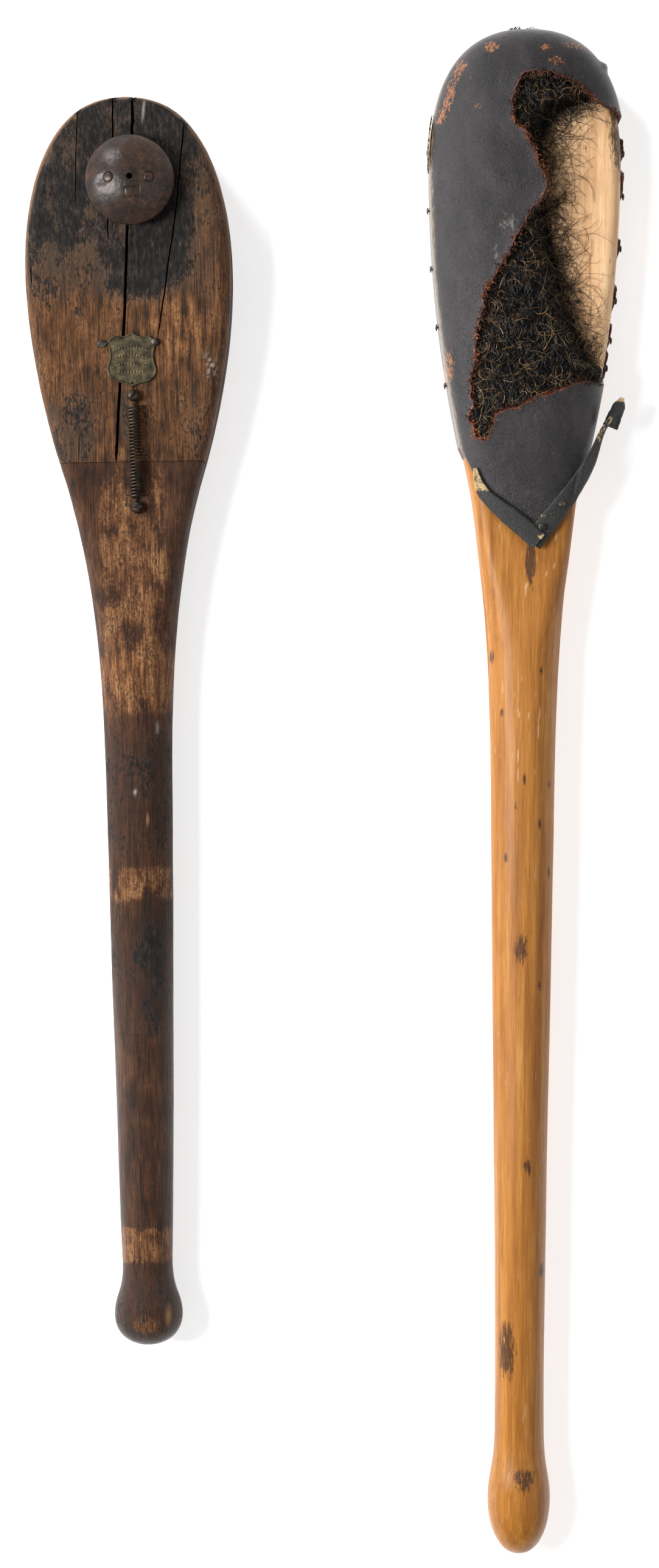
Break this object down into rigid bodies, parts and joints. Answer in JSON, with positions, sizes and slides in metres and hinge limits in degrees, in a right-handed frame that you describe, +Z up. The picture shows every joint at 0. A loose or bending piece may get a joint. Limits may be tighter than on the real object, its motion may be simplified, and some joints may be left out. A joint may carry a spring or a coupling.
{
  "type": "pair of wooden lodge paddles",
  "caption": "A wooden clapper paddle with a sprung hinged front board, iron dome and brass shield, beside a longer wooden paddle with torn leather over a horsehair pad.",
  "frame": {"origin": "centre of the base of the pair's bounding box, on the surface both paddles lie on", "axes": "+X from the clapper paddle to the padded paddle, +Y from the butts to the heads, +Z up out of the front faces"},
  "size_m": [0.391, 0.988, 0.0743],
  "materials": {
    "dark_wood": "worn black and brown paint, soot, bare orange wood showing through",
    "pale_wood": "golden varnish, bare cream wood where it was covered",
    "rusty_iron": "rusty brown, worn bright on one side",
    "old_steel": "dark oxidised steel",
    "nail_steel": "rusty nail heads",
    "old_brass": "dark olive brown patina",
    "cover_leather": "dark grey grained leather, torn edges rusty orange",
    "strip_leather": "black painted strip, beige where torn",
    "horsehair": "loose curly black and brown hair",
    "lining_cloth": "dark grey woven cloth"
  },
  "bodies": {
    "root": {"clapper_paddle_handle_board": "dark_wood", "hinge_lower_leaf": "old_steel", "hinge_pin": "old_steel", "firing_pin_plate": "old_steel", "firing_pin": "old_steel", "spring_screw_lower": "old_steel", "return_spring": "old_steel", "hinge_screw_lower_1": "old_steel", "hinge_screw_lower_2": "old_steel", "firing_plate_screw_1": "old_steel", "firing_plate_screw_2": "old_steel"},
    "clapper": {"clapper_board": "dark_wood", "hinge_upper_leaf": "old_steel", "cartridge_chamber": "old_steel", "blast_cap": "rusty_iron", "cap_lug": "rusty_iron", "shield_badge": "old_brass", "spring_screw_upper": "old_steel", "cap_post_left": "rusty_iron", "badge_nail_left": "nail_steel", "cap_post_right": "rusty_iron", "badge_nail_right": "nail_steel", "hinge_screw_upper_1": "old_steel", "hinge_screw_upper_2": "old_steel", "chamber_screw_1": "old_steel", "chamber_screw_2": "old_steel"},
    "padded_paddle": {"padded_paddle_handle_board": "pale_wood", "horsehair_pad": "horsehair", "leather_cover": "cover_leather", "lining_patch": "lining_cloth", "binding_strip_left": "strip_leather", "binding_strip_right": "strip_leather", "binding_strip_end": "strip_leather", "strip_nail_1": "nail_steel", "strip_nail_2": "nail_steel", "side_tack_right_1": "nail_steel", "side_tack_right_2": "nail_steel", "side_tack_right_3": "nail_steel", "side_tack_right_4": "nail_steel", "side_tack_right_5": "nail_steel", "side_tack_right_6": "nail_steel", "side_tack_left_1": "nail_steel", "side_tack_left_2": "nail_steel", "side_tack_left_3": "nail_steel", "side_tack_left_4": "nail_steel", "side_tack_left_5": "nail_steel"}
  },
  "joints": [
    {"name": "clapper_hinge", "type": "hinge", "parent": "root", "child": "clapper", "pos_m": [-0.12702, 0.21392, 0.0255], "axis": [-0.9998, -0.0175, 0], "range_deg": [0, 3], "stiffness_Nm_per_rad": 3.6, "springref_deg": -16.04, "deforming": ["return_spring"]},
    {"name": "padded_paddle_lift", "type": "slide", "parent": "root", "child": "padded_paddle", "axis": [0, 0, 1], "range_m": [0, 0.3]}
  ]
}
